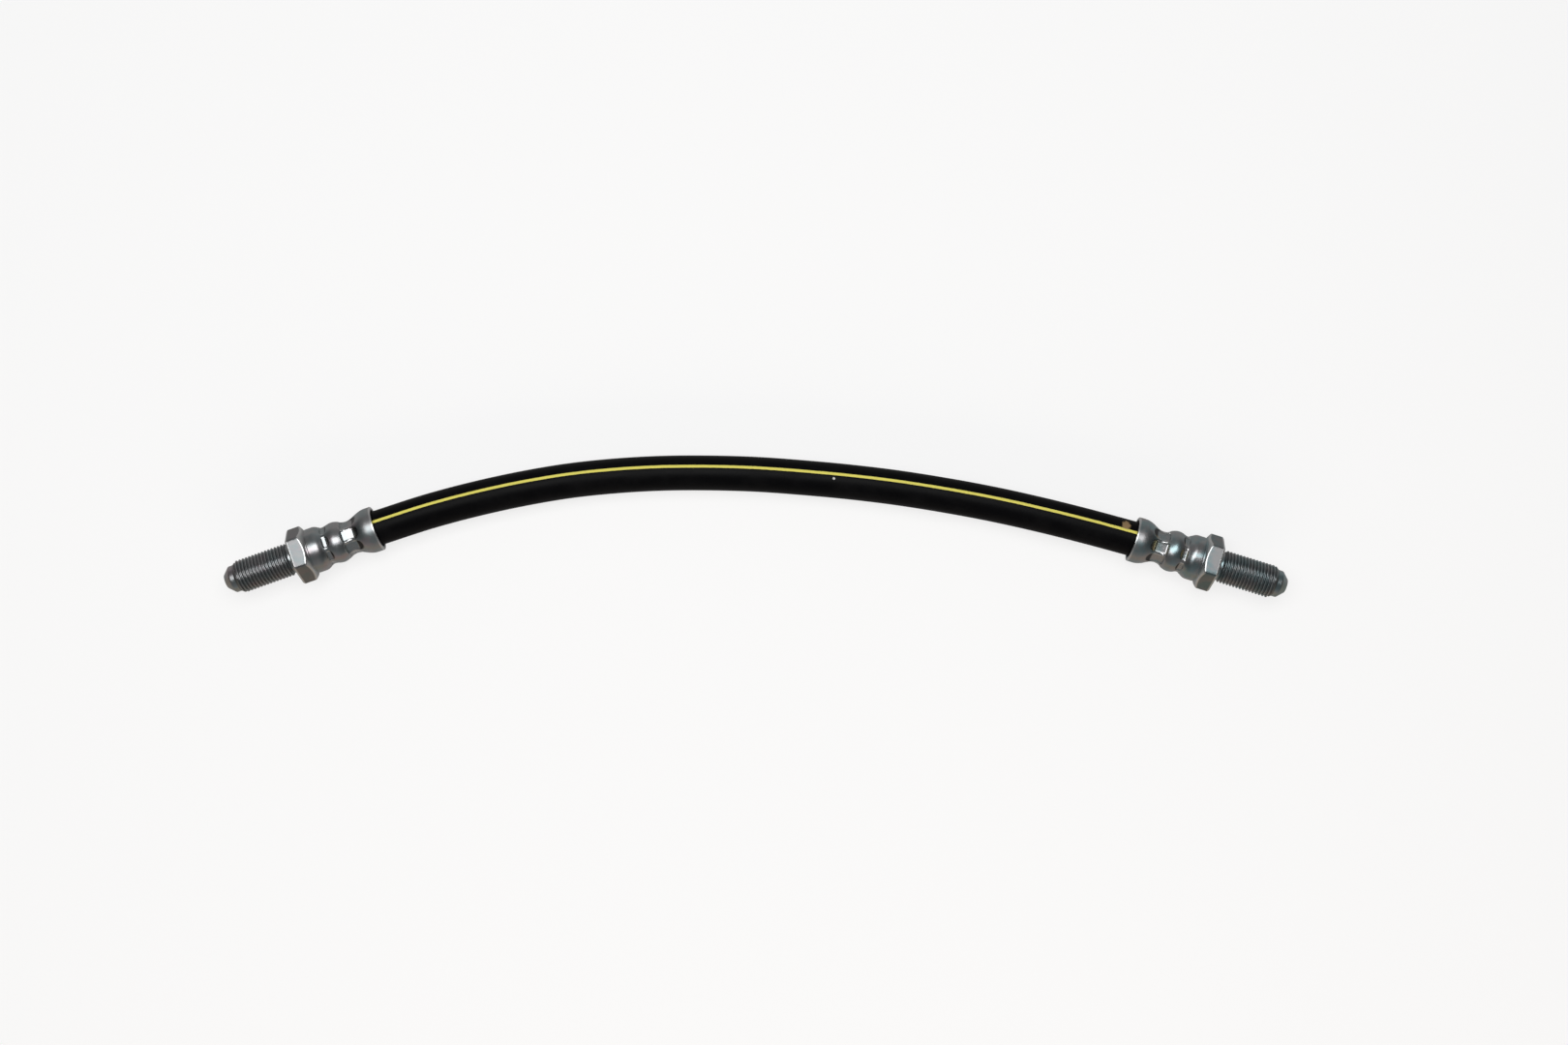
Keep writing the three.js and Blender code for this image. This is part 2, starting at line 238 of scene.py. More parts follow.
# The end fitting's sizes in millimetres, measured along its axis from the sealing tip
fitting = {
    "bore": 1.7,
    "boreBreak": 0.1,
    "tipRadius": 2.05,
    "pilotRadius": 4.05,
    "pilotEnd": 3.4,
    "threadRadius": 4.95,
    "threadPitch": 1.0,
    "threadDepth": 0.6,
    "threadFlats": (1 / 8, 1 / 4),  # crest and root, as shares of the pitch
    "threadRun": (0.25, 0.45),  # its rows start past the pilot's end and end past reliefStart
    "leadAngle": 38.0,
    "reliefStart": 19.6,
    "reliefRun": 0.67,
    "reliefRadius": 4.3,
    "hexFront": 21.45,
    "hexRear": 26.55,
    "hexFlat": 7.5,  # from the axis to a flat
    "hexTurned": 8.54,  # radius that the corners are turned to
    "hexCorner": 0.22,  # rounding of the six corners
    "hexEdge": 0.45,
    "hexMargins": (0.3, 0.45),  # rows that hold the flats straight, behind and before their ends
    "chamferAngle": 32.0,
    # behind the hexagon: place after hexRear, depth and rounding
    "groove": ((0.0, 0.08, 0.08), (0.25, 0.12, 0.1), (0.5, 0.0, 0.12)),
    "barrelRadius": 6.8,
    "barrelEnd": 28.85,
    "waistOne": (31.85, 5.75),  # place, radius
    "bulge": (34.95, 6.22),
    "waistTwo": (39.35, 5.06),
    "bell": (45.55, 6.8),
    "waveLean": (1.3, 1.0, 1.0, 0.9),  # over 1, a wave falls or rises late in its span
    "mouth": 47.45,
    "wall": 1.05,
    "socketFloor": 28.05,
    "collarSeat": 26.8,
    "collarRadius": 2.75,
    "jawCount": 8,
    "jawOne": (32.15, 5.36, 0.55),  # place, distance from the axis, half length
    "jawTwo": (39.25, 4.74, 1.7),
    "jawWidth": 3.1,
    "jawSlopes": (62.0, 38.0, 50.0),  # in front, behind and at the sides, degrees
    "jawRounds": (0.06, 0.1, 0.1),  # the same places
    "jawCreases": (0.02, 0.08),  # between the two rings of lands, and between lands and shell
    "jawRoll": {"left": 3.0, "right": 7.8},
    "rounds": {
        "bore": 0.06, "tip": 0.15, "cone": 0.25, "pilot": 0.1, "relief": 0.2, "hexFoot": 0.15,
        "hexFace": 0.06, "crease": 0.22, "lip": 0.36, "lipInside": 0.16, "boreEnd": 0.05,
    },
    "columns": 216,
    "threadRows": 10,  # per pitch
    "crimpRows": (-0.6, -0.45, 0.15),  # from barrelEnd, to the mouth, step
    "cavityRows": (-0.6, 0.3, -0.8),  # from the mouth, to socketFloor, step
    "sharpAngle": 38.0,
}


def halfWaves(x, stations, lean):
    # between neighbouring stations the radius follows half a cosine wave of the share to its lean
    places = np.array([s[0] for s in stations])
    radii = np.array([s[1] for s in stations])
    span = np.clip(np.searchsorted(places, x, side="right") - 1, 0, len(places) - 2)
    share = np.clip((x - places[span]) / (places[span + 1] - places[span]), 0, 1)
    share = share ** np.array(lean)[span]
    return radii[span] + (radii[span + 1] - radii[span]) * (1 - np.cos(np.pi * share)) / 2


def socketRadius(x):
    # outside of the socket before the jaws press it: half waves from the barrel to the bell
    barrel = (fitting["barrelEnd"], fitting["barrelRadius"])
    swells = [fitting[name] for name in ("waistOne", "bulge", "waistTwo", "bell")]
    return halfWaves(np.asarray(x, float), [barrel, *swells], fitting["waveLean"])


def catmullRom(points, perSpan):
    # cubic spans through the points, whose tangents weigh the gaps by their square roots
    points = np.asarray(points, float)
    first = 2 * points[0] - points[1]
    last = 2 * points[-1] - points[-2]
    p = np.vstack([first, points, last])
    gap = np.sqrt(np.linalg.norm(np.diff(p, axis=0), axis=1))[:, None]
    slope = np.diff(p, axis=0) / gap
    chord = (p[2:] - p[:-2]) / (gap[1:] + gap[:-1])
    tangent = slope[:-1] - chord + slope[1:]
    t = (np.arange(perSpan) / perSpan)[None, :, None]
    start, end = points[:-1, None], points[1:, None]
    leave = (tangent[:-1] * gap[1:-1])[:, None]
    arrive = (tangent[1:] * gap[1:-1])[:, None]
    curve = (
        start * (2 * t**3 - 3 * t**2 + 1) + end * (3 * t**2 - 2 * t**3)
        + leave * (t**3 - 2 * t**2 + t) + arrive * (t**3 - t**2)
    )
    return np.vstack([curve.reshape(-1, points.shape[1]), points[-1:]])


def endAxis(side):
    # unit vector in the hose's plane, from a fitting's tip towards the hose
    heading = math.radians(hoseRoute[side + "Heading"])
    sign = 1 if side == "left" else -1
    return np.array([sign * math.cos(heading), sign * math.sin(heading), 0.0])


hose = {
    "radius": 5.25,
    "coverInner": 4.0,
    "bore": 1.6,
    "insertSeat": 1.915,  # the squeezed bore on the insert
    "insertEnd": 45.45,
    "nipRelief": 1.5,
    "endGap": 0.1,  # between the hose's end and the socket's floor
    "socketGap": 0.07,
    "socketShare": 0.995,  # of the cavity's radius
    "columns": 120,
    "rowStep": 1.0,
    "hiddenStep": 6.0,
    "sleevePoints": 40,
    "tangentReach": 0.3,
    "stripeTurn": 14.8,  # degrees from the plane's normal towards the outside of the bend
    "stripeWidth": 0.85,
    "length": 268.0,
}


def wholeCentreline():
    # straight in each socket, and the smooth curve between the bell mouths
    flat = catmullRom(hoseRoute["points"], hoseRoute["perSpan"])
    free = np.column_stack([flat, np.zeros(len(flat))])
    held = fitting["mouth"] - fitting["socketFloor"] - hose["endGap"]
    sleeve = np.linspace(held, 0, hose["sleevePoints"])[:, None]
    left = free[0] - sleeve * endAxis("left")
    right = free[-1] - sleeve[::-1] * endAxis("right")
    return np.vstack([left[:-1], free, right[1:]])


def coverRadii(along, total):
    # outside and inside of the cover; in a socket both follow the crimped shell
    x = fitting["socketFloor"] + hose["endGap"] + np.minimum(along, total - along)
    cavity = socketRadius(x) - fitting["wall"]
    cavity = np.where(x < fitting["mouth"], cavity, np.inf)
    outside = np.minimum(hose["radius"], cavity * hose["socketShare"] - hose["socketGap"])
    share = np.clip((x - hose["insertEnd"]) / hose["nipRelief"], 0, 1)
    bore = hose["insertSeat"] + (hose["bore"] - hose["insertSeat"]) * share
    deep = (hose["coverInner"] - hose["bore"]) / (hose["radius"] - hose["bore"])
    return outside, bore + deep * (outside - bore)


def travelledAlong(line):
    # running sum of the distances between neighbouring points
    steps = np.linalg.norm(np.diff(line, axis=0), axis=1)
    return np.concatenate([[0], np.cumsum(steps)])


def makeHoseCover():
    # rings round the centreline, out to the mouth and back inside:
    # centre + radius (cos turn up + sin turn outwards)
    line = wholeCentreline()
    travelled = travelledAlong(line)
    total = travelled[-1]

    def lineAt(lengths):
        return np.column_stack([np.interp(lengths, travelled, line[:, i]) for i in range(3)])

    shown = np.linspace(0, total, int(total / hose["rowStep"]))
    hiddenRows = np.linspace(total, 0, int(total / hose["hiddenStep"]))
    along = np.concatenate([shown, hiddenRows])
    isShown = np.arange(len(along)) < len(shown)
    outside, inside = coverRadii(along, total)
    radius = np.where(isShown, outside, inside)
    centre = lineAt(along)
    tangent = lineAt(along + hose["tangentReach"]) - lineAt(along - hose["tangentReach"])
    tangent /= np.linalg.norm(tangent, axis=1)[:, None]
    up = np.array([0.0, 0.0, 1.0])
    outwards = np.cross(up, tangent)  # towards the outside of the bend
    # the seam lies underneath
    turn = np.linspace(0, 2 * np.pi, hose["columns"], endpoint=False) + math.pi
    ring = (
        np.cos(turn)[None, :, None] * up
        + np.sin(turn)[None, :, None] * outwards[:, None, :]
    )
    points = onFloor(centre[:, None, :] + radius[:, None, None] * ring)
    fromStripe = turn - math.radians(hose["stripeTurn"])
    shape = (len(along), len(turn))
    marks = {
        "acrossStripe": np.broadcast_to(hose["radius"] * np.sin(fromStripe), shape),
        "facesStripe": np.broadcast_to(np.cos(fromStripe), shape),
        "alongHose": np.stack([
            np.broadcast_to(hose["radius"] * np.cos(turn), shape),
            np.broadcast_to(hose["radius"] * np.sin(turn), shape),
            np.broadcast_to(along[:, None], shape),
        ], axis=-1),
    }
    piece = gridMesh("hoseCover", points, marks)
    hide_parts("hose_cover")
    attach(piece, "root")
    free = travelledAlong(catmullRom(hoseRoute["points"], hoseRoute["perSpan"]))[-1]
    print("hose length", round(float(total), 1), "mm, free", round(float(free), 1))
    return piece


hoseCover = makeHoseCover()
print("hose cover made")


def smoothLeast(a, b, width):
    # the lesser of two, with the crease between them rounded over width
    share = np.clip(0.5 + (b - a) / (2 * width), 0, 1)
    return b + (a - b) * share - width * share * (1 - share)


def softRise(value, width):
    # nought below zero and the value above it, rounded over width
    return (value + np.sqrt(value * value + width * width)) / 2


def fromNearest(turn, count):
    # signed angle from the nearest of count equal divisions of a full turn
    pitch = 2 * np.pi / count
    return (turn + pitch / 2) % pitch - pitch / 2


def hexRadius(turn, flat, turned):
    # distance to the nearest of six flats, cut off at the turned corners
    straight = flat / np.cos(fromNearest(turn, 6))
    return smoothLeast(straight, turned + 0 * turn, fitting["hexCorner"])


def hexRim(turn):
    # radius of the hexagon round the axis, and where the turned chamfer behind it begins
    edge = hexRadius(turn, fitting["hexFlat"], fitting["hexTurned"])
    slant = math.tan(math.radians(fitting["chamferAngle"]))
    return edge, fitting["hexRear"] - (edge - fitting["barrelRadius"]) * slant


def jawRadius(x, turn, jaw):
    # eight flat lands at the jaw's distance, rising at its slopes in front, behind and at the sides
    place, apothem, half = jaw
    front, rear, side = (math.tan(math.radians(v)) for v in fitting["jawSlopes"])
    roundFront, roundRear, roundSide = fitting["jawRounds"]
    ahead = softRise(place - half - x, roundFront) * front
    after = softRise(x - place - half, roundRear) * rear
    toFlat = fromNearest(turn, fitting["jawCount"])
    land = apothem + ahead + after
    past = land * np.tan(np.abs(toFlat)) - fitting["jawWidth"] / 2
    return (land + softRise(past, roundSide) * side) / np.cos(toFlat)


def threadWave(x, turn):
    # a trapezoid that winds right-handed, 0 at the flat crest and 1 at the flat root, whose
    # corners are rounded by 3 w^2 - 2 w^3
    phase = (x / fitting["threadPitch"] + turn / (2 * np.pi)) % 1
    fromCrest = np.minimum(phase, 1 - phase)
    crest, root = (share / 2 for share in fitting["threadFlats"])
    wave = np.clip((fromCrest - crest) / (1 / 2 - crest - root), 0, 1)
    return wave * wave * (3 - 2 * wave)


def roundedRows(controls, steps=3):
    # each control row [x, radius, round] is met by a small curve that leaves its neighbours tangent
    made = []
    last = len(controls)
    for i, (x, r, rounding) in enumerate(controls):
        if rounding <= 0:
            made.append((x, r))
            continue
        legs = []
        for j in ((i - 1) % last, (i + 1) % last):
            dx, dr = controls[j][0] - x, controls[j][1] - r
            reach = np.maximum(np.hypot(dx, dr), 1e-9)
            size = np.minimum(rounding, reach * 0.45) / reach  # never past half of the leg
            legs.append((x + dx * size, r + dr * size))
        (x0, r0), (x1, r1) = legs
        for t in np.linspace(0, 1, steps + 1):
            a, b, c = (1 - t) ** 2, 2 * t * (1 - t), t * t
            made.append((a * x0 + b * x + c * x1, a * r0 + b * r + c * r1))
    return made


def fittingRows(turn, roll):
    # the outline's rows from the tip over the outside to the mouth, and back through the bore; the
    # thread's radius is the least of its wave, its lead-in cone and its run-out cone
    f, rounds = fitting, fitting["rounds"]
    flat = np.zeros_like(turn)
    hexEdge, crease = hexRim(turn)
    hexFace = hexRadius(turn, f["hexFlat"] - f["hexEdge"], f["hexTurned"] - f["hexEdge"])
    hexStart = f["hexFront"] + f["hexEdge"]
    pilotStart = f["pilotRadius"] - f["tipRadius"]
    rows = [
        (flat, flat + f["bore"] + f["boreBreak"], rounds["bore"]),
        (flat, flat + f["tipRadius"], rounds["tip"]),
        (flat + pilotStart, flat + f["pilotRadius"], rounds["cone"]),
        (flat + f["pilotEnd"], flat + f["pilotRadius"], rounds["pilot"]),
    ]
    step = f["threadPitch"] / f["threadRows"]
    start, end = f["threadRun"]
    for x in np.arange(f["pilotEnd"] + start, f["reliefStart"] + end, step):
        lead = f["pilotRadius"] + (x - f["pilotEnd"]) * math.tan(math.radians(f["leadAngle"]))
        fade = f["threadRadius"] - (x - f["reliefStart"])
        wave = f["threadRadius"] - f["threadDepth"] * threadWave(x, turn)
        rows.append((flat + x, np.minimum(wave, min(lead, fade)), 0))
    behindFront, beforeCrease = f["hexMargins"]
    rows += [
        (flat + f["reliefStart"] + f["reliefRun"], flat + f["reliefRadius"], rounds["relief"]),
        (flat + f["hexFront"], flat + f["reliefRadius"], rounds["hexFoot"]),
        (flat + f["hexFront"], hexFace, rounds["hexFace"]),
        (flat + hexStart, hexEdge, rounds["hexFace"]),
        (flat + hexStart + behindFront, hexEdge, 0),
        (crease - beforeCrease, hexEdge, 0),
        (crease, hexEdge, rounds["crease"]),
    ]
    for after, depth, rounding in f["groove"]:
        rows.append((flat + f["hexRear"] + after, flat + f["barrelRadius"] - depth, rounding))
    start, end, step = f["crimpRows"]
    betweenJaws, roundJaws = f["jawCreases"]
    for x in np.arange(f["barrelEnd"] + start, f["mouth"] + end, step):
        one, two = (jawRadius(x, turn - roll, f[name]) for name in ("jawOne", "jawTwo"))
        jawed = smoothLeast(one, two, betweenJaws)
        rows.append((flat + x, smoothLeast(socketRadius(x) + flat, jawed, roundJaws), 0))
    bell = f["bell"][1]
    rows += [
        (flat + f["mouth"], flat + bell, rounds["lip"]),
        (flat + f["mouth"], flat + bell - f["wall"], rounds["lipInside"]),
    ]
    start, end, step = f["cavityRows"]
    for x in np.arange(f["mouth"] + start, f["socketFloor"] + end, step):
        rows.append((flat + x, flat + socketRadius(x) - f["wall"], 0))
    rows += [
        (flat + f["socketFloor"], flat + f["barrelRadius"] - f["wall"], 0),
        (flat + f["socketFloor"], flat + f["collarRadius"], 0),
        (flat + f["collarSeat"], flat + f["collarRadius"], 0),
        (flat + f["collarSeat"], flat + f["bore"], 0),
        (flat + f["boreBreak"], flat + f["bore"], rounds["boreEnd"]),
    ]
    rounded = roundedRows(rows)
    return np.stack([r[0] for r in rounded]), np.stack([r[1] for r in rounded])


# Where the marks lie that the plating's look follows, in millimetres
marking = {
    "threadEnd": 0.6,  # past reliefStart
    "boreSkin": 1.0,  # a radius within this of the bore is inside
    "hexStart": 0.2,
    "flatDepth": 0.1,
    "pressedDepth": 0.25,  # below the shell's own form, where the mark is full
    "sunkDepth": 0.1,
    "crimp": (0.7, 1.0, 4.4),  # before barrelEnd, before the mouth, least radius
    # the hexagon's crease and front edge, and the bell's lip below, get a painted highlight
    "edges": (0.25, 0.12, 0.3),  # half widths at the crease and the front edge, and their depth
    "lip": 0.5,
    # painted warm reflection on the tops of the crimp's lands
    "reflectionPlaces": ((41.2, 0.7, 0.5), (33.6, 0.8, 0.75)),  # place, width, strength
    "reflectionTop": (0.85, 0.1),  # cosine of the turn where it starts, and the rise to full
    # where the painted shade on the crimp's slopes rises to full
    "slopeRise": (0.25, 0.4),  # in front of the first land, and behind both
    "slopeReach": 3.0,
    "wall": (-0.05, 0.35, 0.9),  # beside a land, from and to, and how much painted highlight it gets
    "flare": (43.0, 1.5),  # place, and the rise to full
    # how strong the painted warm reflection is on each fitting
    "warmReflection": {"left": 0.1, "right": 0.9},
    "teal": {"left": 0.35, "right": 0.75},
}


def landMarks(x, turn, side):
    # the slopes behind both lands and in front of the first, from 0 at the land to 1, which get
    # painted shade, and the walls along the lands' sides, which get a painted highlight
    f, m = fitting, marking
    frontRise, rearRise = m["slopeRise"]
    low, high, wallHighlight = m["wall"]
    slope = np.clip((f["jawOne"][0] - f["jawOne"][2] - x) / frontRise, 0, 1)
    walls = 0 * x
    toFlat = fromNearest(turn - math.radians(f["jawRoll"][side]), f["jawCount"])
    for place, apothem, half in (f["jawOne"], f["jawTwo"]):
        behind = x - place - half
        rise = np.clip(behind / rearRise, 0, 1) * (behind < m["slopeReach"])
        slope = np.maximum(slope, rise)
        beside = apothem * np.tan(np.abs(toFlat)) - f["jawWidth"] / 2
        onWall = (np.abs(x - place) < half) & (beside > low) & (beside < high)
        walls = np.where(onWall, wallHighlight, walls)
    return slope, walls


def fittingMarks(x, radius, turn, side):
    # each mark is 1 in its own zone of the surface and 0 away from it, or a share in between
    f, m = fitting, marking
    outer = radius > f["bore"] + m["boreSkin"]
    inThread = (x > f["pilotEnd"]) & (x < f["reliefStart"] + m["threadEnd"]) & outer
    depth = np.clip((f["threadRadius"] - radius) / f["threadDepth"], 0, 1)
    alongHex = (x > f["hexFront"] + m["hexStart"]) & (x < f["hexRear"])
    onHex = alongHex & (radius > f["hexFlat"] - m["flatDepth"])
    below = socketRadius(x) - radius
    pressed = np.clip(below / m["pressedDepth"], 0, 1)
    sunk = np.clip(below / m["sunkDepth"], 0, 1)
    beforeBarrelEnd, beforeMouth, leastRadius = m["crimp"]
    alongCrimp = (x > f["barrelEnd"] - beforeBarrelEnd) & (x < f["mouth"] - beforeMouth)
    inCrimp = alongCrimp & (radius > leastRadius)
    edge, crease = hexRim(turn)
    atCrease, atFront, edgeDepth = m["edges"]
    fromFront = np.abs(x - f["hexFront"] - f["hexEdge"])
    onEdge = (np.abs(x - crease) < atCrease) | (fromFront < atFront)
    onEdge = onEdge & (radius > edge - edgeDepth)
    onLip = (x > f["mouth"] - m["lip"]) & (radius > f["bell"][1] - m["lip"])
    # painted warm reflection: bands across the lands, only on their upper side
    paintedReflection = sum(much * np.exp(-(((x - at) / width) ** 2)) for at, width, much in m["reflectionPlaces"])
    topStart, topRise = m["reflectionTop"]
    paintedReflection = paintedReflection * np.clip((np.cos(turn) - topStart) / topRise, 0, 1)
    slope, walls = landMarks(x, turn, side)
    flareStart, flareRise = m["flare"]
    return {
        # depth in the thread, which carries painted shade in the roots
        "threadRoot": np.where(inThread, depth, 0.0),
        "hexFlat": np.where(onHex, 1.0, 0.0),
        "pressed": np.where(inCrimp, pressed, 0.0),
        "threaded": np.where(inThread, 1.0, 0.0),
        # painted highlight along the hexagon's edges, the bell's lip and the lands' walls
        "paintedHighlight": np.where(onEdge | onLip, 1.0, walls),
        "flared": np.clip((x - flareStart) / flareRise, 0, 1),
        # painted warm reflection on the lands' tops
        "paintedReflection": np.where(inCrimp, sunk * paintedReflection, 0.0) * m["warmReflection"][side],
        # painted shade on the crimp's slopes
        "paintedShade": np.where(inCrimp, sunk * slope, 0.0),
        "teal": np.full(x.shape, m["teal"][side]),
    }


def makeFitting(side):
    # the rows turned about the axis: tip + x axis + radius (sin turn across + cos turn up)
    turn = np.linspace(0, 2 * np.pi, fitting["columns"], endpoint=False)
    x, radius = fittingRows(turn, math.radians(fitting["jawRoll"][side]))
    axis = endAxis(side)
    up = np.array([0.0, 0.0, 1.0])
    across = np.cross(up, axis)
    mouth = np.array([*hoseRoute["points"][0 if side == "left" else -1], 0.0])
    tip = mouth - fitting["mouth"] * axis
    y, z = radius * np.sin(turn), radius * np.cos(turn)
    points = tip + x[..., None] * axis + y[..., None] * across + z[..., None] * up
    marks = {"turned": np.stack([y, z, x], axis=-1), **fittingMarks(x, radius, turn, side)}
    name = "fitting" + side.capitalize()
    piece = gridMesh(name, onFloor(points), marks)
    piece.data.set_sharp_from_angle(angle=math.radians(fitting["sharpAngle"]))
    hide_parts("fitting_" + side)
    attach(piece, "root")
    print(name, len(piece.data.polygons) * 2, "triangles")
    return piece


fittings = [makeFitting("left"), makeFitting("right")]
print("fittings made")

# Scales are to the metre, and a pair called ...At holds the values between which a mark rises
plating = {
    "zinc": (0.41, 0.41, 0.415),
    "blue": (0.24, 0.365, 0.39),
    "rose": (0.46, 0.38, 0.41),
    # the colour of a painted warm reflection
    "warmReflection": (0.62, 0.49, 0.22),
    "root": (0.16, 0.165, 0.175),
    # painted shade: a near-black laid on the crimp's slopes and in the thread's roots
    "paintedShade": (0.03, 0.031, 0.035),
    # a pale colour that paints highlights
    "paintedHighlight": (0.78, 0.79, 0.79),
    # the near-black of the painted shade on the hexagon's flats
    "shade": (0.02, 0.02, 0.02),
    "patch": 260.0,
    "blueAt": (0.36, 0.62),
    "rosePatch": 234.0,
    "roseAt": (0.5, 0.7),
    "roseMost": 0.95,
    "roseStretch": (0.8, 1.2, 1.0),
    "speck": 2600.0,
    "speckAt": (0.64, 0.78),
    "rootAt": (0.25, 0.9),
    "share": {"paintedShade": 0.98, "speck": 0.25, "threaded": 0.1, "root": 0.55, "paintedHighlight": 0.8},
    # the brightness that a hexagon flat keeps under its painted shade
    "flatShade": 0.62,
    "flatClean": 0.7,  # share of the specks that a flat lacks
    "lathe": (0.25, 0.25, 9.0),  # rings round the axis
    "mill": (3.0, 3.0, 0.4),
    "millScale": 1.6,
    "millShare": 0.3,
    "gloss": 0.31,
    "flatGloss": 0.44,
    "threadGloss": 0.40,
    "duller": {"pressed": -0.06, "flared": 0.08, "lines": 0.14, "speck": 0.15, "paintedHighlight": -0.08},
    "grain": 5200.0,
    "lineBump": (0.00002, 0.12),  # height in metres, strength
    "grainBump": (0.00001, 0.10),
}


def platedSteel():
    s = Shader("platedSteel")
    p, share, duller = plating, plating["share"], plating["duller"]
    place = s.place()
    turned = s.attribute("turned", vector=True)
    root, threaded = s.attribute("threadRoot"), s.attribute("threaded")
    flat, paintedHighlight = s.attribute("hexFlat"), s.attribute("paintedHighlight")
    pressed, flared = s.attribute("pressed"), s.attribute("flared")
    teal = s.attribute("teal")
    blueness = s.noise(place, p["patch"]).between(*p["blueAt"]) * teal
    roseness = s.noise(s.stretched(place, p["roseStretch"]), p["rosePatch"])
    colour = s.mix(blueness, p["zinc"], p["blue"])
    roseness = roseness.between(*p["roseAt"]) * (p["roseMost"] - teal)
    colour = s.mix(roseness, colour, p["rose"])
    # painted shade on the slopes in front of the first land and behind both
    colour = s.mix(s.attribute("paintedShade") * share["paintedShade"], colour, p["paintedShade"])
    # painted warm reflection on the lands' tops
    colour = s.mix(s.attribute("paintedReflection"), colour, p["warmReflection"])
    specks = s.noise(place, p["speck"], detail=2.0, roughness=0.6).between(*p["speckAt"])
    specks = specks * (1 - flat * p["flatClean"])
    colour = s.mix(specks * share["speck"], colour, p["root"])
    # painted sheen: the thread lightened a little towards the painted highlight's colour
    colour = s.mix(threaded * share["threaded"], colour, p["paintedHighlight"])
    # painted shade in the thread's roots, darker the deeper the root
    colour = s.mix(root.between(*p["rootAt"]) * share["root"], colour, p["paintedShade"])
    # painted shade: the hexagon's flats darkened, keeping flatShade of their brightness
    colour = s.mix(flat * (1 - p["flatShade"]), colour, p["shade"])
    # painted highlight on the hexagon's edges, the bell's lip and the lands' walls
    colour = s.mix(paintedHighlight * share["paintedHighlight"], colour, p["paintedHighlight"])
    lathe = s.noise(s.stretched(turned, p["lathe"]), 1.0, detail=4.0, roughness=0.65)
    mill = s.noise(s.stretched(turned, p["mill"]), p["millScale"], roughness=0.6)
    lines = lathe * (1 - flat) + mill * flat * p["millShare"]
    rough = p["gloss"] + flat * (p["flatGloss"] - p["gloss"])
    rough = rough + threaded * (p["threadGloss"] - p["gloss"])
    rough = rough + pressed * duller["pressed"] + flared * duller["flared"]
    rough = rough + (lines - 0.5) * duller["lines"] + specks * duller["speck"]
    rough = rough + paintedHighlight * duller["paintedHighlight"]
    grain = s.noise(place, p["grain"], detail=2.0)
    normal = s.bump(lines, *p["lineBump"])
    normal = s.bump(grain, *p["grainBump"], normal)
    return s.finish(Base_Color=colour, Metallic=1.0, Roughness=rough, Normal=normal)


# Scales are to the metre on Object coordinates, and to the millimetre along the hose
rubber = {
    "black": (0.0010, 0.0010, 0.0014),
    "dusty": (0.0045, 0.0045, 0.005),
    "yellow": (0.84, 0.76, 0.16),
    "yellowWorn": (0.62, 0.57, 0.20),
    "tan": (0.34, 0.23, 0.12),
    "lint": (0.7, 0.7, 0.68),
    "smear": (0.1100, 0.0080, 0.0014),  # place and radius seen from above, metres
    "speck": (0.0232, 0.0219, 0.0004),
    "streaks": (1.2, 1.2, 0.05),
    "grain": 4200.0,
    "cloud": 140.0,
    "cloudAt": (0.4, 0.75),
    "dust": {"cloud": 0.5, "streaks": 0.25},
    "wander": (0.0, 0.0, 0.12),
    "wanderBy": 0.12,  # millimetres, as the next two
    "raggedBy": 0.08,
    "lineEdge": 0.05,
    "ragged": 1500.0,
    "facingAt": (0.0, 0.2),  # cosine from the line, so that no paint gets inside the hose
    "wear": 900.0,
    "wearAt": (0.55, 0.8),
    "wearShare": 0.45,
    "spotAt": (0.6, 1.1),  # share of a spot's radius over which it ends
    "spotRagged": 0.9,
    "spotShare": 0.85,
    "gloss": 0.42,
    "duller": {"grain": 0.16, "cloud": 0.08, "stripe": 0.06},
    "height": {"grain": 0.5, "streaks": 0.9, "stripe": 0.8},
    "bump": (0.00003, 0.3),
    "shine": 0.08,
}


